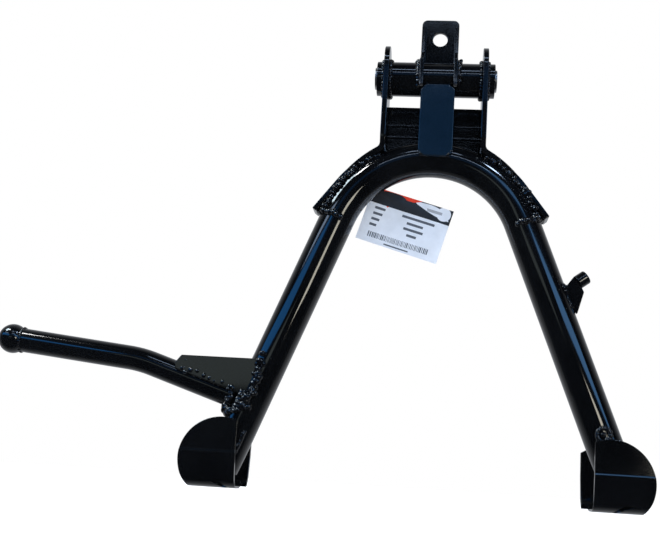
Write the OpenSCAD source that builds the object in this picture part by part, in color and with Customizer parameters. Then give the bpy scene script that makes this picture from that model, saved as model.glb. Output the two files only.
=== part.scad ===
// Motorcycle centre stand: a bent pipe frame with two shoes, a foot lever and a cross pivot.
// Origin: centre of the pivot. +X runs along the pivot, +Z is up, and -Y is the side the feet fold to.

/* [Pivot] */
// Outer diameter of the pivot tube
pivot_od = 25; // [22:0.5:28]
// Length of the pivot tube
pivot_len = 86; // [84:1:92]
// Outer diameter of the steel collar inside the tube
collar_od = 16; // [15:0.5:18]
// Hole in the collar for the pivot bolt
collar_bore = 12.2; // [10.2:0.5:12.7]
// Radial running clearance between collar and tube
collar_gap = 0.05; // [0.02:0.01:0.09]

/* [Frame pipe] */
// Outer diameter of the bent pipe
pipe_od = 25.4; // [24:0.1:26]
// Wall of the bent pipe
pipe_wall = 2.3; // [1.6:0.1:3]
// Centreline radius of the arch
arch_r = 70.5; // [69:0.5:73]
// Depth of the arch centre below the pivot
arch_drop = 132; // [130:0.5:136]
// Angle of each leg from upright
leg_angle = 21.2; // [19:0.1:23]
// Depth of the leg ends below the pivot
leg_end = 290; // [284:1:292]

/* [Side plates] */
// Distance between the plates' inner faces
ear_gap = 68; // [66:1:70]
// Thickness of the side plates
ear_t = 3.8; // [3:0.1:4]
// Radius of the rounded top
ear_top_r = 17; // [16:0.5:18]
// Height of that radius' centre above the pivot
ear_top_rise = 7.5; // [5:0.5:10]
// Radius of the outward bend
ear_bend_r = 4; // [3:0.5:6]
// Length of the straight end of each flange
flange_tail = 27; // [20:1:29]

/* [Front strap and top tab] */
// Sideways offset of strap and tab
strap_x = 2; // [0:0.5:3]
// Width of the strap
strap_w = 24.4; // [20:0.2:26]
// Thickness of the strap
strap_t = 4; // [3:0.5:5]
// Width of the tab
tab_w = 27.4; // [26:0.2:30]
// Height of the tab above the pivot
tab_top = 47; // [42:1:50]
// Diameter of the tab's hole
tab_hole = 10.8; // [8:0.2:12]
// Height of the hole above the pivot
tab_hole_z = 31.7; // [28:0.5:34]

/* [Shoes] */
// Plate thickness of the shoes
shoe_t = 3.2; // [2.5:0.1:3.6]
// Depth of the sole below the pivot
sole_drop = 303.5; // [302:0.5:306]
// Radius of the cheek outline
cheek_r = 29.5; // [28:0.5:30]
// Sideways offset of both shoes towards the lever
shoe_shift = 4; // [0:0.5:5]
// Drain hole in the right shoe's sole
sole_hole = 9; // [6:0.5:10]

/* [Foot lever] */
// Diameter of the bar
bar_d = 17.2; // [16:0.2:17.4]
// Diameter of the ball end
ball_d = 21.2; // [18:0.2:24]
// Bend radius of the bar
bar_bend_r = 90; // [60:5:120]

/* [Hidden] */
$fn = 64;
paint = "#202328";
bead_paint = "#2b2f35";
bead_fn = 24;

pipe_r = pipe_od / 2;
pipe_bore_r = pipe_r - pipe_wall;
bend_swell = 0.05;
leg_root = 0.5;
pivot_r = pivot_od / 2;
arch_z = -arch_drop;
tangent_x = arch_r * cos(leg_angle);
tangent_z = arch_z + arch_r * sin(leg_angle);
leg_len = (tangent_z + leg_end) / cos(leg_angle);

ear_in = ear_gap / 2;
ear_out = ear_in + ear_t;
flange_seat = 2;                                   // how deep the pipe's crown sits in the flange
flange_in = arch_r + pipe_r - flange_seat;
flange_out = flange_in + ear_t;
bend_x = ear_out + ear_bend_r;
bend_z = arch_z + sqrt(pow(flange_out + ear_bend_r, 2) - pow(bend_x, 2));
bend_sweep = acos(bend_x / (flange_out + ear_bend_r));
tail_from = 37;                                    // angle at which the flange runs straight
flange_half = 8.5;

web_y = 3.5;
web_t = 3;
web_top = -18.2;
web_foot = -60;
web_lean = 8;                                      // the plate leans back towards its top
web_ribs = [17, 26.5];                             // heights of the two ribs above the foot
rib_r = 1.2;
strap_top = -9.4;
strap_end = -63;
strap_y = -pivot_r - strap_t;
tab_t = 3;
tab_lip_t = 2.8;
tab_lip = 5;
tab_back = 2;

shoe_in = 120.5;                                   // inner edge, before the sideways offset
cheek_x = 131;
cheek_z = -285;
shoe_front = -16.4;
shoe_back = 22;
bend_line = -281.5;
sole_bend = -294.5;
sole_set = 2.4;
back_lap = 4.5;                                    // how far the back cheek reaches inward
drain_x = 137.6;
drain_y = 2.8;

ball_x = -297.5;
ball_z = -207.2;
arm_fall = 6;
root_fall = 18;
arm_run = 87.9;
root_run = 74;
bar_r = bar_d / 2;

gusset_t = 3.2;
gusset_y = -12;
gusset_back = 6;
gusset_top = -213.8;

hook_t = 3.6;
hook_y = -5.2;
stud_x = 104.9;
stud_z = -148.1;
stud_r = 4.9;
stud_len = 7;
stud_tilt = 36;

plug_z = -252.8;
plug_r = 4.6;
plug_rise = 0.9;                                   // how far the plug stands off the leg

card_w = 62;
card_h = 41;
card_t = 0.5;
card_tilt = 16.2;
card_x = 17.4;                                     // the card's top right corner
card_z = -96;

// Points along an arc, and a list read from its far end.
function arc(centre, r, from, to, steps) = [for (i = [0 : steps])
    let (a = from + (to - from) * i / steps) centre + r * [cos(a), sin(a)]];
function backward(list) = [for (i = [len(list) - 1 : -1 : 0]) list[i]];

function leg_x(z) = tangent_x + (tangent_z - z) * tan(leg_angle);

// Turns a drawing in the X-Z plane into a plate from y0, thick towards +Y.
module plate(y0, t) translate([0, y0 + t, 0]) rotate([90, 0, 0]) linear_extrude(t) children();

// Turns a drawing whose x is Y and whose y is Z into a bar along X.
module bar_along_x(x0, length) translate([x0, 0, 0])
    rotate([90, 0, 90]) linear_extrude(length) children();

// A part of a ring about the arch centre: the drawing's x is the distance from that centre.
module arch_sweep(from, to) translate([0, 0, arch_z]) rotate([90, 0, 0])
    rotate([0, 0, from]) rotate_extrude(angle = to - from, $fn = 128) children();

// ---- Frame pipe -------------------------------------------------------------------------------

// Places its children at the top of a leg, with +Z running down the leg.
module at_leg(side) translate([side * tangent_x, 0, tangent_z])
    rotate([0, side * (180 - leg_angle), 0]) children();

module leg(side) at_leg(side) cylinder(leg_len, r = pipe_r);

module arch() arch_sweep(leg_angle, 180 - leg_angle) translate([arch_r, 0])
    circle(pipe_r + bend_swell);

// The legs run a little way into the arch, whose wall the bending has thickened slightly.
module frame_pipe() color(paint) {
    arch_sweep(leg_angle, 180 - leg_angle) translate([arch_r, 0]) difference() {
        circle(pipe_r + bend_swell);
        circle(pipe_bore_r - bend_swell);
    }
    for (side = [-1, 1]) at_leg(side) translate([0, 0, -leg_root]) difference() {
        cylinder(leg_len + leg_root, r = pipe_r);
        translate([0, 0, -1]) cylinder(leg_len + 5, r = pipe_bore_r);
    }
}

// ---- Pivot ------------------------------------------------------------------------------------

module pivot_hole(r) rotate([0, 90, 0]) cylinder(200, r = r, center = true);

module pivot_tube() color(paint) rotate([0, 90, 0]) difference() {
    cylinder(pivot_len, r = pivot_r, center = true);
    cylinder(pivot_len + 1, r = collar_od / 2 + collar_gap, center = true);
}

module pivot_collar() color("#8d9299") rotate([0, 90, 0]) difference() {
    cylinder(pivot_len + 3, r = collar_od / 2, center = true);
    cylinder(pivot_len + 4, r = collar_bore / 2, center = true);
}

// ---- Side plates ------------------------------------------------------------------------------

// The plate's bent edge, seen along the bike: ear, outward bend, curved flange and straight tail.
function bend_arc(r) = arc([bend_x, bend_z], r, 180, 180 + bend_sweep, 8);
function flange_arc(r) = arc([0, arch_z], r, bend_sweep, tail_from, 12);
function tail_end(r) = [0, arch_z] + r * [cos(tail_from), sin(tail_from)]
    + flange_tail * [sin(tail_from), -cos(tail_from)];
function edge_line(x, bend, flange) = concat([[x, ear_top_rise + ear_top_r]],
    bend_arc(bend), flange_arc(flange), [tail_end(flange)]);

module side_edge() polygon(concat(edge_line(ear_out, ear_bend_r, flange_out),
    backward(edge_line(ear_in, ear_bend_r + ear_t, flange_in))));

// The plate's outline, seen from the side: wide at the ear, narrower along the flange.
module side_outline() {
    translate([0, ear_top_rise]) circle(ear_top_r, $fn = 96);
    polygon([[-ear_top_r, ear_top_rise], [-ear_top_r, -48], [-flange_half, -72], [-flange_half, -120],
        [flange_half, -120], [flange_half, -72], [ear_top_r, -48], [ear_top_r, ear_top_rise]]);
}

module right_plate_solid() difference() {
    intersection() {
        plate(-30, 60) side_edge();
        bar_along_x(20, 90) side_outline();
    }
    pivot_hole(pivot_r);
    arch();
    leg(1);
}

module right_side_plate() color(paint) right_plate_solid();

module left_side_plate() color(paint) mirror([1, 0, 0]) right_plate_solid();

// ---- Web, strap and tab -----------------------------------------------------------------------

module web_plate() color(paint) difference() {
    translate([-ear_in, web_y, web_foot]) rotate([-web_lean, 0, 0]) {
        cube([ear_gap, web_t, (web_top - web_foot) / cos(web_lean)]);
        for (z = web_ribs) translate([0, 0, z]) rotate([0, 90, 0])
            cylinder(ear_gap, r = rib_r, $fn = bead_fn);
    }
    arch();
}

module strap_outline() {
    clip = 4;
    w = strap_w / 2;
    polygon([[clip - w, strap_top], [w - clip, strap_top], [w, strap_top - clip],
        [w, strap_end + clip], [w - clip, strap_end], [clip - w, strap_end],
        [-w, strap_end + clip], [-w, strap_top - clip]]);
}

module front_strap() color("#2f4a63") difference() {
    plate(strap_y, strap_t) translate([strap_x, 0]) strap_outline();
    arch();
}

// Side lip of the tab: shallow above, then round the front of the pivot tube.
module lip_outline() {
    reach = -pivot_r - 3.2;
    polygon([[tab_back, 10], [tab_back, tab_top - 4], [tab_back - tab_lip, tab_top - 6],
        [tab_back - tab_lip - 1, 20], [reach, 11], [reach, strap_top + 0.4], [-8, strap_top + 0.4]]);
}

module top_tab() color(paint) translate([strap_x, 0, 0]) difference() {
    union() {
        plate(tab_back - tab_t, tab_t) difference() {
            union() {
                translate([-tab_w / 2, 5]) square([tab_w, tab_top - 9]);
                translate([4 - tab_w / 2, 5]) square([tab_w - 8, tab_top - 5]);
                for (side = [-1, 1]) translate([side * (tab_w / 2 - 4), tab_top - 4]) circle(4);
            }
            translate([0, tab_hole_z]) circle(tab_hole / 2);
        }
        for (x = [-tab_w / 2, tab_w / 2 - tab_lip_t]) bar_along_x(x, tab_lip_t) lip_outline();
    }
    pivot_hole(pivot_r);
}

// ---- Shoes ------------------------------------------------------------------------------------

turn_lean = atan2(sole_set, bend_line - sole_bend);
turn_r = (sole_bend + sole_drop) / (1 - sin(turn_lean));

// Half a shoe's folded section, inset by t: cheek, slight bend, and a round turn into the sole.
// side is 1 for the back half and -1 for the front half; edge is that cheek's outer Y.
function half_section(side, edge, t) =
    let (y = edge - side * sole_set, r = turn_r - t,
        cy = y - side * turn_r * cos(turn_lean), cz = -sole_drop + turn_r)
    concat([[edge - side * t, -240], [edge - side * t, bend_line - t * tan(turn_lean / 2)]],
        [for (i = [0 : 6]) let (a = turn_lean + (90 - turn_lean) * i / 6)
            [cy + side * r * cos(a), cz - r * sin(a)]]);

// Front half in order, then back half in reverse, closed across the top.
module shoe_section(t) polygon(concat(half_section(-1, shoe_front, t),
    backward(half_section(1, shoe_back, t))));

module cheek_outline(inner) difference() {
    union() {
        translate([cheek_x, cheek_z]) circle(cheek_r, $fn = 128);
        translate([inner, -310]) square([cheek_x - inner, 310 + cheek_z + 10]);
    }
    translate([inner - 40, -320]) square([40, 100]);
}

// The folded plate on its own, trimmed to the cheeks' outlines.
module shoe_blank() intersection() {
    difference() {
        bar_along_x(100, 70) shoe_section(0);
        bar_along_x(99, 72) shoe_section(shoe_t);
    }
    union() {
        plate(shoe_front - 1, shoe_back - shoe_front - 6) cheek_outline(shoe_in);
        plate(shoe_back - 8, 10) difference() {
            cheek_outline(shoe_in - back_lap);
            translate([90, -264]) square([40, 40]);
        }
    }
}

module shoe(side) difference() {
    translate([-shoe_shift, 0, 0]) mirror([side < 0 ? 1 : 0, 0, 0]) shoe_blank();
    leg(side);
}

module right_foot() color(paint) difference() {
    shoe(1);
    translate([drain_x, drain_y, -sole_drop - 1]) cylinder(8, r = sole_hole / 2);
}

module left_foot() color(paint) shoe(-1);

// ---- Foot lever -------------------------------------------------------------------------------

// The bar in its own plane: a straight arm, a bend and a straight root that meets the leg.
// Arm and root run a little way into the bend, which bending has thickened slightly.
module bar_solid(r) translate([ball_x, 0, ball_z]) rotate([0, 90 + arm_fall, 0]) {
    cylinder(arm_run + leg_root, r = r);
    translate([bar_bend_r, 0, arm_run]) {
        rotate([90, 180, 0]) rotate_extrude(angle = arm_fall - root_fall, $fn = 256)
            translate([bar_bend_r, 0]) circle(r + bend_swell);
        rotate([0, root_fall - arm_fall, 0]) translate([-bar_bend_r, 0, -leg_root])
            cylinder(root_run + leg_root, r = r);
    }
}

module foot_lever() color(paint) difference() {
    bar_solid(bar_r);
    leg(-1);
    translate([ball_x, 0, ball_z]) sphere(ball_d / 2, $fn = 64);
}

module lever_knob() color(paint) translate([ball_x, 0, ball_z]) sphere(ball_d / 2, $fn = 64);

// ---- Gusset -----------------------------------------------------------------------------------

// Everything on the inner side of the left leg's centre line.
module leg_side_cut() translate([-tangent_x, 0, tangent_z]) rotate([0, leg_angle, 0])
    translate([0, -50, -300]) cube([200, 100, 400]);

// A front plate and a top fold, both ending at the leg.
module lever_gusset() color(paint) difference() {
    union() {
        plate(gusset_y, gusset_t) polygon([[-173, -223.4], [-173, -219], [-169, gusset_top],
            [-105, gusset_top], [-105, -245.5]]);
        translate([-169, gusset_y, gusset_top - gusset_t])
            cube([60, gusset_back - gusset_y, gusset_t]);
    }
    leg(-1);
    leg_side_cut();
}

// ---- Spring hook and vent plug ----------------------------------------------------------------

// Places its children at the stud's base, with +Z running out along the stud.
module at_stud() translate([stud_x, hook_y + hook_t / 2, stud_z])
    rotate([0, 90 - stud_tilt, 0]) children();

// The lug widens from the stud's base to the leg.
module spring_hook_plate() color(paint) difference() {
    tip = stud_r * [sin(stud_tilt), -cos(stud_tilt)];
    plate(hook_y, hook_t) polygon([[86, -146], [97.5, -150.5], [stud_x, stud_z] - tip,
        [stud_x, stud_z] + tip, [109.2, -155], [104.9, -170.2], [98, -167.5], [90, -168]]);
    leg(1);
}

module spring_hook_stud() color(paint) at_stud() {
    cylinder(stud_len, r = stud_r);
    translate([0, 0, stud_len]) cylinder(0.8, r1 = stud_r, r2 = stud_r - 0.8);
}

// The plug with the bead round its rim.
module vent_plug() color(bead_paint) translate([leg_x(plug_z), -pipe_r - plug_rise, plug_z])
    rotate([-90, 0, 0]) {
        cylinder(3.6, r = plug_r);
        translate([0, 0, 1.6]) rotate_extrude() translate([plug_r + 0.4, 0])
            circle(1.5, $fn = bead_fn);
    }

// ---- Label card -------------------------------------------------------------------------------

module label_card() color("#e9ebee") translate([card_x, pipe_r + 0.1, card_z])
    rotate([0, card_tilt, 0])
    translate([-card_w, 0, -card_h]) cube([card_w, card_t, card_h]);

// ---- Weld beads -------------------------------------------------------------------------------

module fillet_ring(r, leg_size) rotate_extrude()
    polygon([[r, 0], [r + leg_size, 0], [r, leg_size]]);

module pivot_welds() color(bead_paint) for (side = [-1, 1]) {
    translate([side * ear_in, 0, 0]) rotate([0, -side * 90, 0]) fillet_ring(pivot_r, 3.2);
    translate([side * ear_out, 0, 0]) rotate([0, side * 90, 0]) fillet_ring(pivot_r, 2.4);
}

// A bead that runs round the pivot tube beside the tab's lips.
module tab_bead(x) translate([x, 0, 0]) rotate([90, 0, 90]) rotate([0, 0, 75])
    rotate_extrude(angle = 130) translate([pivot_r + 0.6, 0]) circle(2, $fn = bead_fn);

module tab_welds() color(bead_paint) for (side = [-1, 1])
    tab_bead(strap_x + side * (tab_w / 2 + 0.6));

module strap_weld() color(bead_paint) translate([strap_x, -pipe_r + 0.2, strap_end - 0.5])
    rotate([0, 90, 0]) cylinder(strap_w - 5, r = 2.2, center = true, $fn = bead_fn);

// Bead along the foot of the web plate, on the back of the arch's crown.
module web_weld() color(bead_paint) {
    half_span = asin((ear_in - 3) / (arch_r + 12));
    bead_y = web_y - 1;
    reach = arch_r + sqrt(pipe_r * pipe_r - bead_y * bead_y) + 0.4;
    arch_sweep(90 - half_span, 90 + half_span) translate([reach, -bead_y])
        circle(1.8, $fn = bead_fn);
}

// Beads along both edges of a flange, and one across its end.
module right_flange_beads() {
    shoulder = sqrt(pipe_r * pipe_r - flange_half * flange_half);
    for (side = [-1, 1]) arch_sweep(24, 60)
        translate([arch_r + shoulder + 1.2, side * (flange_half + 0.6)]) circle(2.6, $fn = bead_fn);
    arch_sweep(16.5, 21) translate([arch_r, 0]) intersection() {
        difference() {
            circle(pipe_r + 2.2);
            circle(pipe_r - 0.4);
        }
        translate([6, -10.5]) square([12, 21]);
    }
}

module right_flange_welds() color(bead_paint) right_flange_beads();

module left_flange_welds() color(bead_paint) mirror([1, 0, 0]) right_flange_beads();

// Bead where the front cheek's inner edge crosses the leg.
module right_foot_bead() {
    for (z = [-262 : -6 : -280]) translate([leg_x(z) - 6.5, -11.6, z]) sphere(2.4, $fn = 20);
    translate([leg_x(-262) - 6.5, -11.6, -262]) rotate([0, 180 - leg_angle, 0])
        cylinder(19.3, r = 2.2, $fn = bead_fn);
}

module right_foot_weld() color(bead_paint) right_foot_bead();

module left_foot_weld() color(bead_paint) mirror([1, 0, 0]) right_foot_bead();

module gusset_welds() color(bead_paint) {
    translate([-leg_x(-217) - 5.5, -11.8, -217]) rotate([0, 180 + leg_angle, 0])
        cylinder(26, r = 3.2, $fn = bead_fn);
    translate([-170, gusset_y + 1.6, -225]) rotate([0, 90 + root_fall, 0])
        cylinder(44, r = 2.4, $fn = bead_fn);
}

module lever_weld() color(bead_paint) translate([-leg_x(-243) - 13.5, 0, -238.4])
    rotate([0, 90 + root_fall, 0]) rotate_extrude() translate([bar_r + 0.3, 0]) circle(2.4, $fn = bead_fn);

module hook_weld() color(bead_paint) for (y = [hook_y - 1, hook_y + hook_t + 1])
    translate([leg_x(-151) + 11.4, y, -151]) rotate([0, 180 - leg_angle, 0])
        cylinder(17, r = 2.2, $fn = bead_fn);

// ---- Output -----------------------------------------------------------------------------------

pivot_collar();
pivot_tube();
frame_pipe();
left_side_plate();
right_side_plate();
web_plate();
front_strap();
top_tab();
left_foot();
right_foot();
foot_lever();
lever_knob();
lever_gusset();
spring_hook_plate();
spring_hook_stud();
vent_plug();
label_card();
pivot_welds();
tab_welds();
strap_weld();
web_weld();
left_flange_welds();
right_flange_welds();
left_foot_weld();
right_foot_weld();
gusset_welds();
lever_weld();
hook_weld();
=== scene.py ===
"""Looks of the motorcycle centre stand: gloss black paint, rippled weld beads and a paper card."""
import math
import random

import bmesh
import bpy
from mathutils import Matrix, Vector


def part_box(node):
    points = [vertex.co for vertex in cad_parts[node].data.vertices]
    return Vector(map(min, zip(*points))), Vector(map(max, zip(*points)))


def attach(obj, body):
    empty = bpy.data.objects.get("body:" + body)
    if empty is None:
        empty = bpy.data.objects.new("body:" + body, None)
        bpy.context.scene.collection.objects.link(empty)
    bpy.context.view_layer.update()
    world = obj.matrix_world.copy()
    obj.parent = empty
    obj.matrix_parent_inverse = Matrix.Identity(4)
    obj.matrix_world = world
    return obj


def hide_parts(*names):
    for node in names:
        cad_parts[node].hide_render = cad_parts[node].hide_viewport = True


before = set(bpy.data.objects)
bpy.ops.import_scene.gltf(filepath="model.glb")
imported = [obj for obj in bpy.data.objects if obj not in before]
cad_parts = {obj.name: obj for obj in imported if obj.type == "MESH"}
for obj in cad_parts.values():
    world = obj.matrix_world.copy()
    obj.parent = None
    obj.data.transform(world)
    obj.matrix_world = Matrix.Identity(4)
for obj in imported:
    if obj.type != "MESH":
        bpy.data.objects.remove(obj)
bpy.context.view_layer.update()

MM = 0.001
STAND, PIVOT = "stand", "pivot"
SIDES = ((-1, "left"), (1, "right"))

# ---- Sizes, in millimetres -------------------------------------------------------------------


def box_mm(node):
    """The low and high corners of a CAD node's box."""
    low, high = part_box(node)
    return low / MM, high / MM


pipe_high = box_mm("frame_pipe")[1]
tube_high = box_mm("pivot_tube")[1]
ball_low, ball_high = box_mm("lever_knob")
strap_low, strap_high = box_mm("front_strap")
tab_low, tab_high = box_mm("top_tab")
shoe_low, shoe_high = box_mm("right_foot")
left_shoe_low = box_mm("left_foot")[0]
ear_low = box_mm("right_side_plate")[0]

PIPE_R = 12.7
PIPE_BORE_R = 10.4
ARCH_R = 70.5
LEG_ANGLE = math.radians(21.2)
BEND_SWELL = 0.05
ARCH_Z = pipe_high.z - PIPE_R - ARCH_R - BEND_SWELL
LEG_LOW = -290
TUBE_R = tube_high.z
EAR_IN = ear_low.x
EAR_T = 3.8
FLANGE_HALF = 8.5
TANGENT_X = ARCH_R * math.cos(LEG_ANGLE)
TANGENT_Z = ARCH_Z + ARCH_R * math.sin(LEG_ANGLE)
BALL = (ball_low + ball_high) / 2
BALL_R = ball_high.y
BAR_R = 8.6
ARM_FALL = math.radians(6)
ROOT_FALL = math.radians(18)
ARM_RUN = 87.9
BAR_BEND_R = 90
ROOT_RUN = 66
FLOOR_Z = shoe_low.z


def leg_x(z):
    return TANGENT_X + (TANGENT_Z - z) * math.tan(LEG_ANGLE)


def leg_along(side):
    """Unit vector down a leg."""
    return Vector((side * math.sin(LEG_ANGLE), 0, -math.cos(LEG_ANGLE)))


def leg_point(side, z, turn):
    """A point on a leg's skin. turn 0 is its front, and positive turns go outwards."""
    across = Vector((side * math.cos(LEG_ANGLE), 0, math.sin(LEG_ANGLE)))
    out = across * math.sin(turn) - Vector((0, 1, 0)) * math.cos(turn)
    return Vector((side * leg_x(z), 0, z)) + out * PIPE_R


def arch_point(angle, reach, y):
    """A point by its angle about the arch centre from +X, its distance from it, and its Y."""
    return Vector((reach * math.cos(angle), y, ARCH_Z + reach * math.sin(angle)))


# ---- Materials -------------------------------------------------------------------------------


def nodes_of(name):
    material = bpy.data.materials.new(name)
    material.use_nodes = True
    tree = material.node_tree
    return material, tree, tree.nodes["Principled BSDF"]


def add_noise(tree, scale, detail=4.0, rough=0.55):
    coords = tree.nodes.new("ShaderNodeTexCoord")
    node = tree.nodes.new("ShaderNodeTexNoise")
    node.inputs["Scale"].default_value = scale
    node.inputs["Detail"].default_value = detail
    node.inputs["Roughness"].default_value = rough
    tree.links.new(coords.outputs["Object"], node.inputs["Vector"])
    return node


def spread(tree, source, low, high, from_low=0.3, from_high=0.7):
    node = tree.nodes.new("ShaderNodeMapRange")
    node.inputs["From Min"].default_value = from_low
    node.inputs["From Max"].default_value = from_high
    node.inputs["To Min"].default_value = low
    node.inputs["To Max"].default_value = high
    tree.links.new(source, node.inputs["Value"])
    return node.outputs["Result"]


def mix_colour(tree, share, first, second):
    node = tree.nodes.new("ShaderNodeMix")
    node.data_type = "RGBA"
    tree.links.new(share, node.inputs["Factor"])
    for socket, value in ((node.inputs[6], first), (node.inputs[7], second)):
        if isinstance(value, tuple):
            socket.default_value = (*value, 1)
        else:
            tree.links.new(value, socket)
    return node.outputs[2]


def bump(tree, shader, layers):
    """Stacks bump layers of (height socket, depth in millimetres, strength) on a shader."""
    last = None
    for height, depth, strength in layers:
        node = tree.nodes.new("ShaderNodeBump")
        node.inputs["Distance"].default_value = depth * MM
        node.inputs["Strength"].default_value = strength
        tree.links.new(height, node.inputs["Height"])
        if last is not None:
            tree.links.new(last, node.inputs["Normal"])
        last = node.outputs["Normal"]
    tree.links.new(last, shader.inputs["Normal"])


# Pale grey for sharp edges: partly paint worn thin, partly a painted highlight standing in for light caught
# along the edges.
PALE_EDGE_WEAR_AND_HIGHLIGHT = (0.16, 0.17, 0.185)


def black_paint(name, base, gloss, peel, edge_wear_and_highlight):
    """Sprayed gloss paint: orange peel, faint handling marks, and paler edges: paint worn thin there, plus a
    painted highlight for light caught along the edges.
    """
    material, tree, shader = nodes_of(name)
    smears = add_noise(tree, 26, 5)
    fine = add_noise(tree, 900, 2)
    wide = add_noise(tree, 60, 2)
    chips = add_noise(tree, 420, 3)
    edges = tree.nodes.new("ShaderNodeNewGeometry")
    edge = spread(tree, edges.outputs["Pointiness"], 0, edge_wear_and_highlight, 0.60, 0.72)
    worn_and_highlit_edges = tree.nodes.new("ShaderNodeMath")
    worn_and_highlit_edges.operation = "MULTIPLY"
    tree.links.new(edge, worn_and_highlit_edges.inputs[0])
    tree.links.new(spread(tree, chips.outputs["Fac"], 0.1, 1, 0.42, 0.62), worn_and_highlit_edges.inputs[1])
    smeared = tuple(1.9 * c for c in base)
    deep = mix_colour(tree, spread(tree, smears.outputs["Fac"], 0, 1), base, smeared)
    # Sharp, chipped edges take the pale grey: worn paint plus a painted edge highlight.
    colour = mix_colour(tree, worn_and_highlit_edges.outputs[0], deep, PALE_EDGE_WEAR_AND_HIGHLIGHT)
    tree.links.new(colour, shader.inputs["Base Color"])
    rough = spread(tree, smears.outputs["Fac"], gloss * 0.7, gloss * 1.7)
    tree.links.new(rough, shader.inputs["Roughness"])
    shader.inputs["Specular IOR Level"].default_value = 0.5
    shader.inputs["Coat Weight"].default_value = 0.35
    shader.inputs["Coat Roughness"].default_value = 0.05
    layers = [(wide.outputs["Fac"], 0.10, 0.12 * peel), (fine.outputs["Fac"], 0.006, 0.15 * peel)]
    bump(tree, shader, layers)
    return material


def plated_steel(name):
    """Zinc-plated steel, turned: fine rings across X, with clouding."""
    material, tree, shader = nodes_of(name)
    coords = tree.nodes.new("ShaderNodeTexCoord")
    turned = tree.nodes.new("ShaderNodeTexWave")
    turned.bands_direction = "X"
    turned.inputs["Scale"].default_value = 420
    turned.inputs["Distortion"].default_value = 0.6
    tree.links.new(coords.outputs["Object"], turned.inputs["Vector"])
    clouds = add_noise(tree, 130, 5)
    share = spread(tree, clouds.outputs["Fac"], 0, 1)
    zinc = mix_colour(tree, share, (0.36, 0.37, 0.39), (0.55, 0.55, 0.54))
    tree.links.new(zinc, shader.inputs["Base Color"])
    tree.links.new(spread(tree, clouds.outputs["Fac"], 0.24, 0.42), shader.inputs["Roughness"])
    shader.inputs["Metallic"].default_value = 1.0
    bump(tree, shader, [(turned.outputs["Fac"], 0.02, 0.4), (clouds.outputs["Fac"], 0.04, 0.2)])
    return material


def printed_card(name, ink, rough=0.42):
    """Coated card: faint fibres and uneven ink."""
    material, tree, shader = nodes_of(name)
    fibres = add_noise(tree, 1500, 3)
    cloud = add_noise(tree, 70, 4)
    pale = tuple(min(1.0, 1.06 * c + 0.004) for c in ink)
    dull = tuple(0.9 * c for c in ink)
    printed = mix_colour(tree, spread(tree, cloud.outputs["Fac"], 0, 1), dull, pale)
    tree.links.new(printed, shader.inputs["Base Color"])
    tree.links.new(spread(tree, fibres.outputs["Fac"], rough * 0.8, rough * 1.3), shader.inputs["Roughness"])
    bump(tree, shader, [(fibres.outputs["Fac"], 0.02, 0.3)])
    return material


GLOSS = black_paint("gloss_black_paint", (0.0020, 0.0022, 0.0026), 0.075, 1.0, 0.8)
# The blue in the strap's base colour is a painted reflection of the blue lights it faces, added on top of
# the black paint.
STRAP_PAINT_BLUE_SHEEN = black_paint("strap_black_paint_painted_blue_sheen", (0.0026, 0.0062, 0.0115), 0.12, 0.6, 0.8)
WELD_PAINT = black_paint("painted_weld_metal", (0.0022, 0.0024, 0.0030), 0.07, 1.4, 0.4)
STEEL = plated_steel("zinc_plated_steel")
CARD_WHITE = printed_card("card_white", (0.74, 0.76, 0.80))
CARD_DARK = printed_card("card_header_ink", (0.020, 0.022, 0.026), 0.34)
CARD_RED = printed_card("card_red_ink", (0.78, 0.045, 0.012), 0.34)
CARD_GREY = printed_card("card_grey_ink", (0.10, 0.11, 0.13), 0.5)
CARD_SILVER = printed_card("card_silver_ink", (0.36, 0.37, 0.39), 0.4)

# ---- Mesh tools ------------------------------------------------------------------------------


def new_piece(name, mesh, material):
    piece = bpy.data.objects.new(name, mesh)
    bpy.context.scene.collection.objects.link(piece)
    mesh.materials.clear()
    mesh.materials.append(material)
    return piece


def smooth_faces(mesh):
    mesh.polygons.foreach_set("use_smooth", [True] * len(mesh.polygons))
    mesh.update()


def from_bmesh(name, bm, material):
    bmesh.ops.recalc_face_normals(bm, faces=bm.faces)
    mesh = bpy.data.meshes.new(name)
    bm.to_mesh(mesh)
    bm.free()
    return new_piece(name, mesh, material)


def settle(piece):
    """Applies every modifier of a piece to its mesh."""
    graph = bpy.context.evaluated_depsgraph_get()
    mesh = bpy.data.meshes.new_from_object(piece.evaluated_get(graph))
    piece.modifiers.clear()
    piece.data = mesh
    return piece


def soften(piece, width, segments=3, sharp=28):
    """Rounds a plate's edges, as sheared and painted plate has them, and keeps its faces flat."""
    rounding = piece.modifiers.new("edges", "BEVEL")
    rounding.width = width * MM
    rounding.segments = segments
    rounding.limit_method = "ANGLE"
    rounding.angle_limit = math.radians(sharp)
    rounding.use_clamp_overlap = False
    settle(piece)
    smooth_faces(piece.data)
    flat = piece.modifiers.new("flat", "WEIGHTED_NORMAL")
    flat.weight = 100
    flat.keep_sharp = False
    return settle(piece)


def carve(piece, tool, operation="DIFFERENCE"):
    cut = piece.modifiers.new("cut", "BOOLEAN")
    cut.operation = operation
    cut.solver = "EXACT"
    cut.object = tool
    settle(piece)
    bpy.data.objects.remove(tool)
    return piece


def finish(piece, body, slot, *nodes):
    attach(piece, body)
    if nodes:
        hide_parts(*nodes)
    return piece


def cleaned(mesh, gap):
    """The mesh with points closer than the gap merged, and flat faces in one piece."""
    bm = bmesh.new()
    bm.from_mesh(mesh)
    bmesh.ops.remove_doubles(bm, verts=bm.verts, dist=gap * MM)
    bmesh.ops.dissolve_degenerate(bm, dist=gap * MM, edges=bm.edges)
    bmesh.ops.dissolve_limit(bm, angle_limit=math.radians(0.5), verts=bm.verts, edges=bm.edges)
    return bm


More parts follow.
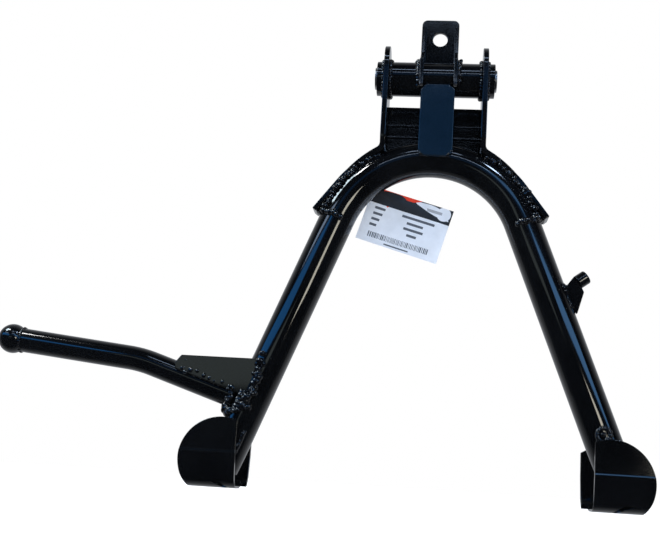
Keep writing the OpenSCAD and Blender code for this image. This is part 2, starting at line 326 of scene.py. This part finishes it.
def from_cad(name, node, material, width):
    """The CAD node's shape with clean flat faces and rounded, painted edges."""
    return soften(from_bmesh(name, cleaned(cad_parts[node].data, 0.004), material), width)


def prism(name, outline, low, high, place, material):
    """A closed solid from a flat outline. place(u, v, w) gives the point, in millimetres."""
    bm = bmesh.new()
    ends = [[bm.verts.new(Vector(place(u, v, w)) * MM) for u, v in outline] for w in (low, high)]
    bm.faces.new(ends[0])
    bm.faces.new(ends[1])
    for i in range(len(outline)):
        j = (i + 1) % len(outline)
        bm.faces.new((ends[0][i], ends[0][j], ends[1][j], ends[1][i]))
    return from_bmesh(name, bm, material)


def rod(name, start, end, radius, material, sides=96):
    start, end = Vector(start), Vector(end)
    turn = (end - start).to_track_quat("Z", "Y").to_matrix().to_4x4()
    bm = bmesh.new()
    bmesh.ops.create_cone(bm, cap_ends=True, segments=sides, radius1=radius * MM, radius2=radius * MM,
                          depth=(end - start).length * MM,
                          matrix=Matrix.Translation((start + end) / 2 * MM) @ turn)
    return from_bmesh(name, bm, material)


def sweep(bm, path, radius, sides, close=False):
    """Adds the skin of a round bar along a path in the X-Z plane, and returns its rings."""
    rings = []
    for i, point in enumerate(path):
        ahead = path[min(i + 1, len(path) - 1)] - path[max(i - 1, 0)]
        across = ahead.normalized().cross(Vector((0, 1, 0))).normalized()
        ring = []
        for k in range(sides):
            a = 2 * math.pi * k / sides
            out = across * math.cos(a) + Vector((0, 1, 0)) * math.sin(a)
            ring.append(bm.verts.new((point + out * radius) * MM))
        rings.append(ring)
    for a, b in zip(rings, rings[1:]):
        for k in range(sides):
            j = (k + 1) % sides
            bm.faces.new((a[k], a[j], b[j], b[k]))
    if close:
        bm.faces.new(rings[0])
        bm.faces.new(rings[-1])
    return rings


def weld(name, path, size, seed, nodes, pitch=1.9, wander=0.16, blobs=0, voxel=0.36):
    """A weld bead: overlapping drops along a path, melted into one rippled skin.

    size is a drop's radius, pitch the step between drops, wander how far they stray from the
    path as a share of their size, and blobs how many extra drops lie on the bead.
    """
    dice = random.Random(seed)
    bm = bmesh.new()
    run = 0.0
    for start, end in zip(path, path[1:]):
        step = end - start
        turn = step.to_track_quat("Z", "Y").to_matrix().to_4x4()
        while run < step.length:
            r = size * dice.uniform(0.84, 1.14)
            stray = Vector([dice.uniform(-1, 1) for _ in range(3)]) * size * wander
            spot = (start + step.normalized() * run + stray) * MM
            flat = Matrix.Diagonal((r * MM, r * MM, r * MM * 0.72, 1))
            place = Matrix.Translation(spot) @ turn @ flat
            bmesh.ops.create_icosphere(bm, subdivisions=3, radius=1, matrix=place)
            run += pitch * dice.uniform(0.8, 1.25)
        run -= step.length
    for _ in range(blobs):
        spot = dice.choice(path[1:-1] or path)
        spot = spot + Vector([dice.uniform(-1, 1) for _ in range(3)]) * size * 0.9
        bmesh.ops.create_icosphere(bm, subdivisions=3, radius=size * MM * dice.uniform(0.4, 0.75),
                                   matrix=Matrix.Translation(spot * MM))
    piece = from_bmesh(name, bm, WELD_PAINT)
    melt = piece.modifiers.new("melt", "REMESH")
    melt.mode = "VOXEL"
    melt.voxel_size = voxel * MM
    relax = piece.modifiers.new("relax", "SMOOTH")
    relax.factor = 0.5
    relax.iterations = 5
    settle(piece)
    smooth_faces(piece.data)
    return finish(piece, STAND, "weld_black", *nodes)


def line(start, end, steps=8):
    start, end = Vector(start), Vector(end)
    return [start.lerp(end, i / steps) for i in range(steps + 1)]


def ring_about_x(x, radius, start=0, end=360, steps=48):
    """Points round the pivot's axis. Angle 0 points to -Y and 90 to +Z."""
    angles = [math.radians(start + (end - start) * i / steps) for i in range(steps + 1)]
    return [Vector((x, -radius * math.cos(a), radius * math.sin(a))) for a in angles]


def ring_round_bar(spot, fall, radius, steps=36):
    """Points round the lever at a spot where it falls at that angle."""
    up = Vector((math.sin(fall), 0, math.cos(fall)))
    angles = [2 * math.pi * i / steps for i in range(steps + 1)]
    return [spot + (up * math.cos(a) + Vector((0, 1, 0)) * math.sin(a)) * radius for a in angles]


def spatter(name, spots, seed):
    """Small drops that weld spray has left on the skin around a bead."""
    dice = random.Random(seed)
    bm = bmesh.new()
    for spot in spots:
        r = dice.uniform(0.25, 0.6) * MM
        bmesh.ops.create_icosphere(bm, subdivisions=2, radius=r, matrix=Matrix.Translation(spot * MM))
    piece = from_bmesh(name, bm, WELD_PAINT)
    smooth_faces(piece.data)
    return finish(piece, STAND, "weld_black")


# ---- Pipe and lever --------------------------------------------------------------------------


PIPE_SIDES = 80
LEG_STEPS, ARCH_STEPS = 41, 96


def pipe_path():
    """Down the right leg's end, over the arch and to the left leg's end."""
    points = []
    for i in range(LEG_STEPS):
        z = LEG_LOW + (TANGENT_Z - LEG_LOW) * i / LEG_STEPS
        points.append(Vector((leg_x(z), 0, z)))
    for i in range(ARCH_STEPS + 1):
        angle = LEG_ANGLE + (math.pi - 2 * LEG_ANGLE) * i / ARCH_STEPS
        points.append(arch_point(angle, ARCH_R, 0))
    for i in range(LEG_STEPS - 1, -1, -1):
        z = LEG_LOW + (TANGENT_Z - LEG_LOW) * i / LEG_STEPS
        points.append(Vector((-leg_x(z), 0, z)))
    return points


def make_pipe():
    bm = bmesh.new()
    path = pipe_path()
    skin = sweep(bm, path, PIPE_R, PIPE_SIDES)
    bore = sweep(bm, path, PIPE_BORE_R, PIPE_SIDES)
    for end in (0, -1):
        for k in range(PIPE_SIDES):
            j = (k + 1) % PIPE_SIDES
            bm.faces.new((skin[end][k], skin[end][j], bore[end][j], bore[end][k]))
    pipe = soften(from_bmesh("bent_frame_pipe", bm, GLOSS), 0.4, sharp=40)
    return finish(pipe, STAND, "gloss_black", "frame_pipe")


BAR_SIDES = 72
ARM_STEPS, BEND_STEPS, ROOT_STEPS = 24, 16, 12
LEG_CUT = 0.3
NECK_RUN = 7.6


def lever_path():
    """From just inside the ball, along the arm, round the bend and down the root to the leg."""
    arm = Vector((math.cos(ARM_FALL), 0, -math.sin(ARM_FALL)))
    inward = Vector((-math.sin(ARM_FALL), 0, -math.cos(ARM_FALL)))
    points = [BALL + arm * (ARM_RUN * i / ARM_STEPS) for i in range(ARM_STEPS)]
    centre = BALL + arm * ARM_RUN + inward * BAR_BEND_R
    for i in range(BEND_STEPS + 1):
        turn = (ROOT_FALL - ARM_FALL) * i / BEND_STEPS
        points.append(centre + (arm * math.sin(turn) - inward * math.cos(turn)) * BAR_BEND_R)
    root = Vector((math.cos(ROOT_FALL), 0, -math.sin(ROOT_FALL)))
    bend_end = points[-1]
    return points + [bend_end + root * (ROOT_RUN * i / ROOT_STEPS) for i in range(1, ROOT_STEPS + 1)]


def make_lever():
    bm = bmesh.new()
    sweep(bm, lever_path(), BAR_R, BAR_SIDES, close=True)
    bar = from_bmesh("foot_lever_bar", bm, GLOSS)
    leg_end = Vector((-leg_x(LEG_LOW), 0, LEG_LOW))
    leg_top = Vector((-TANGENT_X, 0, TANGENT_Z))
    carve(bar, rod("tool", leg_end, leg_top, PIPE_R - LEG_CUT, GLOSS))
    smooth_faces(bar.data)
    finish(bar, STAND, "gloss_black", "foot_lever")
    ball_bm = bmesh.new()
    bmesh.ops.create_uvsphere(ball_bm, u_segments=64, v_segments=40, radius=BALL_R * MM,
                              matrix=Matrix.Translation(BALL * MM) @ Matrix.Rotation(math.pi / 2, 4, "Y"))
    ball = from_bmesh("lever_ball_end", ball_bm, GLOSS)
    smooth_faces(ball.data)
    finish(ball, STAND, "gloss_black", "lever_knob")
    neck = BALL + Vector((math.cos(ARM_FALL), 0, -math.sin(ARM_FALL))) * NECK_RUN
    weld("ball_neck_bead", ring_round_bar(neck, ARM_FALL, BAR_R - 0.2), 1.15, 11, (), 1.2, 0.12, voxel=0.3)


# ---- Shoes -----------------------------------------------------------------------------------

SHOE_T = 3.2
SHOE_FRONT, SHOE_BACK = shoe_low.y, shoe_high.y
FOLD_Z = -281.5
TURN_Z = -294.5
SOLE_SET = 2.4
CHEEK_X, CHEEK_Z, CHEEK_R = 131, -285, 29.5
SHOE_IN, BACK_LAP = 120.5, 4.5
DRAIN_X, DRAIN_Y, DRAIN_R = 137.6, 2.8, 4.5
SHOE_SHIFT = (shoe_high.x + left_shoe_low.x) / 2
CREASE_RISE, CREASE_HALF, CREASE_ABOVE = 0.35, 1.5, 2
CREASE_STEPS, FOLD_STEPS, TURN_STEPS, OUTLINE_STEPS = 12, 6, 20, 60
FOLD_R = 4.2
SECTION_TOP = -240
SECTION_FROM, SECTION_TO = 100, 170
CHEEK_FOOT = -312
CHEEK_SPLIT = 14
BACK_TOP = -264


def half_section(side, edge, inset):
    """One cheek of the folded plate: straight, a crease, a slight fold, then a round turn."""
    top = SECTION_TOP + inset
    lean = math.atan2(SOLE_SET, FOLD_Z - TURN_Z)
    turn_r = (TURN_Z - FLOOR_Z) / (1 - math.sin(lean))
    reach = FOLD_R * math.tan(lean / 2)
    points = [(edge - side * inset, top)]
    half = CREASE_STEPS / 2
    for i in range(CREASE_STEPS + 1 if inset == 0 else 0):
        rise = CREASE_RISE * math.cos(math.pi * (i - half) / CREASE_STEPS) ** 2
        z = FOLD_Z + CREASE_ABOVE + CREASE_HALF * (half - i) / half
        points.append((edge + side * rise, z))
    for i in range(FOLD_STEPS + 1):
        a = lean * i / FOLD_STEPS
        r = FOLD_R - inset
        centre = (edge - side * FOLD_R, FOLD_Z + reach)
        points.append((centre[0] + side * r * math.cos(a), centre[1] - r * math.sin(a)))
    y = edge - side * SOLE_SET
    centre = (y - side * turn_r * math.cos(lean), FLOOR_Z + turn_r)
    r = turn_r - inset
    for i in range(TURN_STEPS + 1):
        a = lean + (math.pi / 2 - lean) * i / TURN_STEPS
        points.append((centre[0] + side * r * math.cos(a), centre[1] - r * math.sin(a)))
    return points


def shoe_section(inset):
    return half_section(-1, SHOE_FRONT, inset) + half_section(1, SHOE_BACK, inset)[::-1]


def cheek_outline(inner, top):
    """Straight inner edge, then the round outline of the cheek, cut off at a top below 0."""
    start = math.acos((inner - CHEEK_X) / CHEEK_R) if inner > CHEEK_X - CHEEK_R else math.pi
    points = [(inner, CHEEK_FOOT), (CHEEK_X, CHEEK_FOOT)]
    for i in range(OUTLINE_STEPS + 1):
        a = -math.pi / 2 + (start + math.pi / 2) * i / OUTLINE_STEPS
        points.append((CHEEK_X + CHEEK_R * math.cos(a), CHEEK_Z + CHEEK_R * math.sin(a)))
    kept = [p for p in points if p[1] < top or p[0] > CHEEK_X]
    if top < 0:
        kept.append((inner, min(top, CHEEK_Z + CHEEK_R * math.sin(start))))
    return kept


def make_shoe(name, side, node):
    def along_x(u, v, w):
        return SHOE_SHIFT + side * w, u, v

    def along_y(u, v, w):
        return SHOE_SHIFT + side * u, w, v

    shoe = prism(name, shoe_section(0), SECTION_FROM, SECTION_TO, along_x, GLOSS)
    hollow = prism("tool", shoe_section(SHOE_T), SECTION_FROM - 1, SECTION_TO + 1, along_x, GLOSS)
    carve(shoe, hollow)
    front_outline = cheek_outline(SHOE_IN, 0)
    back_outline = cheek_outline(SHOE_IN - BACK_LAP, BACK_TOP)
    cheeks = prism("tool", front_outline, SHOE_FRONT - 1, CHEEK_SPLIT, along_y, GLOSS)
    carve(cheeks, prism("tool", back_outline, CHEEK_SPLIT, SHOE_BACK + 2, along_y, GLOSS), "UNION")
    carve(shoe, cheeks, "INTERSECT")
    foot, top = Vector((side * leg_x(-300), 0, -300)), Vector((side * leg_x(-230), 0, -230))
    carve(shoe, rod("tool", foot, top, PIPE_R - 0.1, GLOSS))
    if side > 0:
        below, above = (DRAIN_X, DRAIN_Y, FLOOR_Z - 3), (DRAIN_X, DRAIN_Y, FLOOR_Z + 8)
        carve(shoe, rod("tool", below, above, DRAIN_R, GLOSS, 64))
    folded = cleaned(shoe.data, 0.15)
    bpy.data.objects.remove(shoe)
    return finish(soften(from_bmesh(name, folded, GLOSS), 0.35, 2), STAND, "gloss_black", node)


# ---- Card ------------------------------------------------------------------------------------

CARD_W, CARD_H = 62, 41
CARD_CORNER = Vector((17.4, 12.8, -96))
CARD_TILT = math.radians(16.2)
CARD_T = 0.32
CARD_COLUMNS, CARD_ROWS = 48, 32
DARK_INK, RED_INK, GREY_INK, SILVER_INK = 1, 2, 3, 4
INK_LIFT = CARD_T + 0.03
BAR_H = 0.045


def card_point(u, v, lift):
    """u runs from the card's left edge and v up from its bottom edge, both from 0 to 1."""
    right = Vector((math.cos(CARD_TILT), 0, -math.sin(CARD_TILT)))
    up = Vector((math.sin(CARD_TILT), 0, math.cos(CARD_TILT)))
    curl = 1.6 * (1 - v) ** 2 * (0.4 + 0.6 * u) + 0.3 * math.sin(5 * u)
    flat = CARD_CORNER - right * CARD_W * (1 - u) - up * CARD_H * (1 - v)
    return flat + Vector((0, 0.6 + curl - lift, 0))


def card_patch(bm, outline, lift, ink):
    """A printed area: an outline in card units, laid on the curled card."""
    dense = []
    for (u0, v0), (u1, v1) in zip(outline, outline[1:] + outline[:1]):
        count = max(1, int(20 * max(abs(u1 - u0), abs(v1 - v0))))
        dense += [(u0 + (u1 - u0) * i / count, v0 + (v1 - v0) * i / count) for i in range(count)]
    face = bm.faces.new([bm.verts.new(card_point(u, v, lift) * MM) for u, v in dense])
    face.material_index = ink


def card_bar(bm, left, low, right, high):
    """A plain printed bar where a real card has lettering."""
    card_patch(bm, [(left, low), (right, low), (right, high), (left, high)], INK_LIFT, GREY_INK)


def make_card():
    bm = bmesh.new()
    columns, rows = CARD_COLUMNS, CARD_ROWS
    grids = []
    for lift in (CARD_T, 0):
        grid = []
        for j in range(rows + 1):
            spots = [card_point(i / columns, j / rows, lift) for i in range(columns + 1)]
            grid.append([bm.verts.new(spot * MM) for spot in spots])
        grids.append(grid)
    for grid in grids:
        for j in range(rows):
            for i in range(columns):
                bm.faces.new((grid[j][i], grid[j][i + 1], grid[j + 1][i + 1], grid[j + 1][i]))
    a, b = grids
    rim = [(0, i) for i in range(columns)] + [(j, columns) for j in range(rows)]
    rim += [(rows, i) for i in range(columns, 0, -1)] + [(j, 0) for j in range(rows, 0, -1)]
    for (j0, i0), (j1, i1) in zip(rim, rim[1:] + rim[:1]):
        bm.faces.new((a[j0][i0], a[j1][i1], b[j1][i1], b[j0][i0]))
    bmesh.ops.recalc_face_normals(bm, faces=bm.faces)
    header = [(0, 0.72), (1, 0.72), (1, 1), (0, 1)]
    card_patch(bm, header, INK_LIFT, DARK_INK)
    over = INK_LIFT + 0.03
    card_patch(bm, [(0.02, 0.97), (0.24, 0.70), (0.30, 0.78), (0.62, 1), (0.05, 1)], over, RED_INK)
    card_patch(bm, [(0.30, 0.80), (0.52, 0.765), (0.74, 0.79), (0.52, 0.785)], over, SILVER_INK)
    card_patch(bm, [(0.70, 0.86), (0.88, 0.86), (0.88, 0.91), (0.69, 0.91)], over, SILVER_INK)
    for row, (start, end) in enumerate(((0.44, 0.84), (0.52, 0.72), (0.50, 0.74), (0.56, 0.68))):
        v = 0.62 - 0.105 * row
        card_bar(bm, 0.10, v, 0.10 + 0.13 - 0.015 * row, v + BAR_H)
        card_bar(bm, start, v, end, v + BAR_H)
    dice = random.Random(5)
    u = 0.12
    while u < 0.86:
        wide = dice.choice((0.006, 0.009, 0.014))
        card_bar(bm, u, 0.10, u + wide, 0.20)
        u += wide + dice.choice((0.007, 0.011))
    card_bar(bm, 0.34, 0.035, 0.64, 0.06)
    mesh = bpy.data.meshes.new("paper_label_card")
    bm.to_mesh(mesh)
    bm.free()
    slots = [face.material_index for face in mesh.polygons]
    card = new_piece("paper_label_card", mesh, CARD_WHITE)
    for ink_material in (CARD_DARK, CARD_RED, CARD_GREY, CARD_SILVER):
        mesh.materials.append(ink_material)
    mesh.polygons.foreach_set("material_index", slots)
    return finish(card, STAND, "label_card", "label_card")


# ---- Build -----------------------------------------------------------------------------------

PLATES = (
    ("left_ear_plate", "left_side_plate", GLOSS, 0.5),
    ("right_ear_plate", "right_side_plate", GLOSS, 0.5),
    ("back_web_plate", "web_plate", GLOSS, 0.4),
    # The strap takes the black paint with the painted blue reflection in its base colour.
    ("front_strap_plate", "front_strap", STRAP_PAINT_BLUE_SHEEN, 0.5),
    ("drilled_top_tab", "top_tab", GLOSS, 0.45),
    ("folded_lever_gusset", "lever_gusset", GLOSS, 0.5),
    ("spring_hook_lug", "spring_hook_plate", GLOSS, 0.45),
    ("spring_hook_pin", "spring_hook_stud", GLOSS, 0.5),
    ("cross_pivot_tube", "pivot_tube", GLOSS, 0.5),
)
for piece_name, cad_node, paint, edge_width in PLATES:
    finish(from_cad(piece_name, cad_node, paint, edge_width), STAND, "gloss_black", cad_node)
finish(from_cad("pivot_collar_sleeve", "pivot_collar", STEEL, 0.4), PIVOT, "collar_steel", "pivot_collar")
make_pipe()
make_lever()
make_shoe("left_folded_shoe", -1, "left_foot")
make_shoe("right_folded_shoe", 1, "right_foot")
make_card()

# Welds round the pivot tube: at the ears, and beside the tab's lips.
tab_middle = (tab_low.x + tab_high.x) / 2
tab_width = tab_high.x - tab_low.x
for side, word in SIDES:
    taken = () if side < 0 else ("pivot_welds",)
    inner = ring_about_x(side * (EAR_IN - 0.9), TUBE_R + 0.5)
    weld(f"{word}_ear_inner_weld", inner, 1.7, 20 + side, taken)
    outer = ring_about_x(side * (EAR_IN + EAR_T + 0.6), TUBE_R + 0.3)
    weld(f"{word}_ear_outer_weld", outer, 1.4, 24 + side, ())
    lip_x = tab_middle + side * tab_width / 2
    lip = ring_about_x(lip_x + side * 0.9, TUBE_R + 0.5, -40, 80)
    taken = () if side < 0 else ("tab_welds",)
    weld(f"{word}_tab_weld", lip, 2.1, 31 + side, taken, blobs=9)

# Welds on the arch: under the strap, along the web, along the flanges and across their ends.
strap_in, strap_rise = 2, 1.5
bead_y, bead_z = strap_low.y + 3.2, strap_low.z + strap_rise
strap_path = line((strap_low.x + strap_in, bead_y, bead_z), (strap_high.x - strap_in, bead_y, bead_z))
weld("strap_foot_weld", strap_path, 1.9, 41, ("strap_weld",), blobs=5)
WEB_BEAD_Y = 2.4
web_reach = ARCH_R + math.sqrt(PIPE_R ** 2 - 2.5 ** 2) + 0.3
web_half = math.asin((EAR_IN - 3) / (ARCH_R + PIPE_R))
web_angles = [math.pi / 2 - web_half + 2 * web_half * i / 24 for i in range(25)]
web_path = [arch_point(angle, web_reach, WEB_BEAD_Y) for angle in web_angles]
weld("web_foot_weld", web_path, 1.5, 43, ("web_weld",), blobs=8)

FLANGE_FROM, FLANGE_SPAN, FLANGE_END = 22, 40, 20
shoulder = ARCH_R + math.sqrt(PIPE_R ** 2 - FLANGE_HALF ** 2)
end_reach = PIPE_R + 0.2
for side, word in SIDES:
    for face, label, size in ((-1, "front", 2.5), (1, "back", 2.2)):
        path = []
        for i in range(25):
            angle = math.radians(FLANGE_FROM + FLANGE_SPAN * i / 24)
            angle = angle if side > 0 else math.pi - angle
            path.append(arch_point(angle, shoulder + 0.9, face * (FLANGE_HALF + 0.6)))
        taken = (f"{word}_flange_welds",) if face < 0 else ()
        weld(f"{word}_flange_{label}_weld", path, size, 50 + 3 * side + face, taken, 3.0, 0.32, 9)
    turn = math.radians(FLANGE_END if side > 0 else 180 - FLANGE_END)
    path = []
    for i in range(25):
        a = math.radians(-50 + 165 * i / 24)
        path.append(arch_point(turn, ARCH_R + end_reach * math.cos(a), -end_reach * math.sin(a)))
    weld(f"{word}_flange_end_weld", path, 2.7, 56 + side, (), 2.8, 0.3, 6)

# Welds of the shoes, where their front cheeks meet the legs.
for side, word in SIDES:
    path = [leg_point(side, -262 - 17 * i / 8, -0.5) + Vector((0, 0.6, 0)) for i in range(9)]
    weld(f"{word}_shoe_weld", path, 1.9, 60 + side, (f"{word}_foot_weld",), blobs=5)

# Welds of the gusset: down the leg, along the lever, and at its far corner.
gusset_side = [Vector(spot) for spot in (
    (-111.5, -11.0, -211.5), (-112.0, -12.2, -217), (-113.6, -13.0, -227),
    (-116.5, -13.0, -238), (-121, -12.4, -244), (-126, -10.5, -250))]
weld("gusset_leg_weld", gusset_side, 3.1, 71, ("gusset_welds",), 2.7, 0.4, 18)
shoe_top = [leg_point(-1, -255 + 9 * i / 8, 0.85 - 1.1 * i / 8) for i in range(9)]
weld("shoe_top_weld", shoe_top, 2.5, 77, (), 2.4, 0.3, 6)
leg_filler = [leg_point(-1, -240 - 2 * i, 0.45) for i in range(8)]
weld("leg_filler_weld", leg_filler, 2.9, 78, (), 2.6, 0.3, 8)
root = Vector((math.cos(ROOT_FALL), 0, -math.sin(ROOT_FALL)))
bar_top = Vector((-170, -9.8, -222))
weld("gusset_lever_weld", line(bar_top, bar_top + root * 52), 2.3, 73, (), wander=0.36, blobs=16)
corner = line((-172, -8, -220.5), (-166.5, -10, -217.5))
weld("gusset_corner_weld", corner, 2.0, 74, (), wander=0.3, blobs=6)

# Welds of the lever: under it, and round its root where it meets the leg.
under = [Vector((-137, -3, -246)), Vector((-134, -5, -250)), Vector((-131, -6, -255))]
weld("lever_under_weld", under, 3.6, 76, (), wander=0.3, blobs=10)
root_spot = Vector((-leg_x(-243) - 13.0, 0, -238.4))
root_ring = ring_round_bar(root_spot, ROOT_FALL, BAR_R + 0.2)
weld("lever_root_weld", root_ring, 2.3, 75, ("lever_weld",), wander=0.25, blobs=8)

# Welds of the spring hook, on both faces of its lug.
HOOK_Z, HOOK_RUN = -151, 17
for face, label in ((-1, "front"), (1, "back")):
    start = Vector((leg_x(HOOK_Z) + 11.6, -3.4 + face * 2.6, HOOK_Z))
    path = line(start, start + leg_along(1) * HOOK_RUN)
    taken = ("hook_weld",) if face < 0 else ()
    weld(f"hook_{label}_weld", path, 1.7, 81 + face, taken, wander=0.25, blobs=4)

# The plug weld on the right leg: a raised ring round a low middle.
PLUG_Z, PLUG_RING_R = -252.8, 4.4
plug = leg_point(1, PLUG_Z, 0.0)
angles = [2 * math.pi * i / 30 for i in range(31)]
ring = [plug + Vector((math.cos(a), 0, math.sin(a))) * PLUG_RING_R for a in angles]
weld("plug_weld_ring", ring, 1.75, 91, ("vent_plug",), 1.5, 0.1, blobs=2, voxel=0.3)
middle = [plug + Vector((-1.2, 0.2, 0)), plug + Vector((1.2, 0.2, 0))]
weld("plug_weld_middle", middle, 2.0, 92, (), 1.3, voxel=0.3)

# Spatter beside the gusset, beside the hook and on the flanks of the arch.
dice = random.Random(7)
spots = [leg_point(-1, dice.uniform(-250, -212), dice.uniform(-0.2, 0.75)) for _ in range(26)]
spots += [leg_point(1, dice.uniform(-175, -145), dice.uniform(0.2, 0.9)) for _ in range(10)]
for _ in range(44):
    angle = math.radians(dice.uniform(24, 64))
    angle = angle if dice.random() < 0.5 else math.pi - angle
    turn = dice.uniform(0.2, 0.85)
    spots.append(arch_point(angle, ARCH_R + PIPE_R * math.sin(turn), -PIPE_R * math.cos(turn)))
spatter("weld_spatter_drops", spots, 8)

# ---- Floor, light and camera -----------------------------------------------------------------


FLOOR_HALF = 40
FLOOR_GLOW = 0.98


def make_floor():
    """A pale floor just under the soles. The gloss paint doesn't mirror it."""
    bm = bmesh.new()
    bmesh.ops.create_grid(bm, x_segments=1, y_segments=1, size=FLOOR_HALF)
    floor = from_bmesh("studio_floor", bm, GLOSS)
    floor.location = (0, 0, FLOOR_Z * MM - 0.0002)
    material, tree, shader = nodes_of("pale_floor")
    shader.inputs["Base Color"].default_value = (0.86, 0.86, 0.87, 1)
    shader.inputs["Roughness"].default_value = 0.9
    shader.inputs["Specular IOR Level"].default_value = 0.0
    shader.inputs["Emission Color"].default_value = (1, 1, 1, 1)
    shader.inputs["Emission Strength"].default_value = FLOOR_GLOW
    floor.data.materials.clear()
    floor.data.materials.append(material)
    floor.visible_glossy = False


def softbox(name, place, aim, width, height, colour, radiance):
    """An area light by the brightness of its face."""
    light = bpy.data.lights.new(name, "AREA")
    light.shape = "RECTANGLE"
    light.size, light.size_y = width, height
    light.color = colour
    light.energy = radiance * math.pi * width * height
    lamp = bpy.data.objects.new(name, light)
    lamp.location = place
    lamp.rotation_mode = "QUATERNION"
    lamp.rotation_quaternion = (Vector(aim) - Vector(place)).to_track_quat("-Z", "Y")
    bpy.context.scene.collection.objects.link(lamp)


def make_world():
    """White to the eye; to the paint, a dark room in front and a white sweep behind."""
    world = bpy.data.worlds.new("studio")
    bpy.context.scene.world = world
    world.use_nodes = True
    tree = world.node_tree
    tree.nodes.clear()
    coords = tree.nodes.new("ShaderNodeTexCoord")
    split = tree.nodes.new("ShaderNodeSeparateXYZ")
    tree.links.new(coords.outputs["Generated"], split.inputs["Vector"])
    sweep_share = spread(tree, split.outputs["Y"], 0, 1, -0.15, 0.75)
    room = mix_colour(tree, sweep_share, (0.003, 0.0035, 0.0045), (0.50, 0.52, 0.55))
    path = tree.nodes.new("ShaderNodeLightPath")
    seen = mix_colour(tree, path.outputs["Is Camera Ray"], room, (1.0, 1.0, 1.0))
    background = tree.nodes.new("ShaderNodeBackground")
    output = tree.nodes.new("ShaderNodeOutputWorld")
    tree.links.new(seen, background.inputs["Color"])
    tree.links.new(background.outputs["Background"], output.inputs["Surface"])


# The lights' places and sizes are in metres. Blue bands and a warm card are what the legs mirror.
MIDDLE = (0, 0, -0.15)
BLUE = (0.05, 0.36, 1.0)
PALE_BLUE = (0.20, 0.50, 1.0)
SKY = (0.55, 0.72, 1.0)
GREY = (0.85, 1.0, 0.97)
WARM = (1.0, 0.95, 0.80)
softbox("blue_band_left", (-1.35, -1.05, 0.45), MIDDLE, 1.9, 0.34, BLUE, 2.1)
softbox("blue_band_middle", (0.0, -1.50, 0.46), MIDDLE, 1.2, 0.26, BLUE, 0.26)
softbox("blue_band_right", (1.20, -1.30, 0.45), MIDDLE, 1.3, 0.30, PALE_BLUE, 3.2)
softbox("crease_light", (0.44, -1.40, 0.62), MIDDLE, 0.40, 0.30, PALE_BLUE, 2.2)
softbox("lower_edge_light", (0.0, -1.40, 0.76), MIDDLE, 0.70, 0.05, SKY, 7.0)
softbox("upper_edge_light", (0.0, -1.40, 1.64), MIDDLE, 0.70, 0.12, SKY, 7.0)
softbox("lever_light", (-1.25, -1.00, 0.72), MIDDLE, 0.9, 0.10, SKY, 4.0)
softbox("grey_card", (-0.36, -1.30, -0.06), MIDDLE, 0.50, 0.14, GREY, 0.5)
softbox("warm_card", (0.47, -0.95, -0.16), MIDDLE, 0.22, 0.22, WARM, 7.5)
softbox("glint_left", (-0.80, -0.60, 1.10), MIDDLE, 0.16, 0.16, (1, 1, 1), 50.0)
softbox("weld_light", (-1.10, -0.35, 0.95), MIDDLE, 0.45, 0.45, (0.75, 0.92, 1.0), 14.0)
softbox("glint_right", (0.60, -0.75, 1.05), MIDDLE, 0.16, 0.16, SKY, 40.0)
make_floor()
make_world()

CAMERA_PLACE = (0.0097, -0.7338, FLOOR_Z * MM + 0.0075)
CAMERA_PAN, CAMERA_TILT, CAMERA_ROLL = (math.radians(a) for a in (6.12, 11.21, -3.70))
SENSOR_WIDTH = 36.0
CAMERA_LENS = SENSOR_WIDTH * 1.5905

lens = bpy.data.cameras.new("camera")
lens.lens = CAMERA_LENS
lens.sensor_width = SENSOR_WIDTH
lens.clip_start, lens.clip_end = 0.01, 100
camera = bpy.data.objects.new("camera", lens)
bpy.context.scene.collection.objects.link(camera)
turned = Matrix.Rotation(CAMERA_PAN, 3, "Z") @ Matrix.Rotation(CAMERA_TILT, 3, "X")
turned = turned @ Matrix.Rotation(CAMERA_ROLL, 3, "Y")
level = Matrix(((1, 0, 0), (0, 0, -1), (0, 1, 0)))
camera.matrix_world = Matrix.Translation(CAMERA_PLACE) @ (turned @ level).to_4x4()
bpy.context.scene.camera = camera
bpy.context.scene.view_settings.view_transform = "Standard"
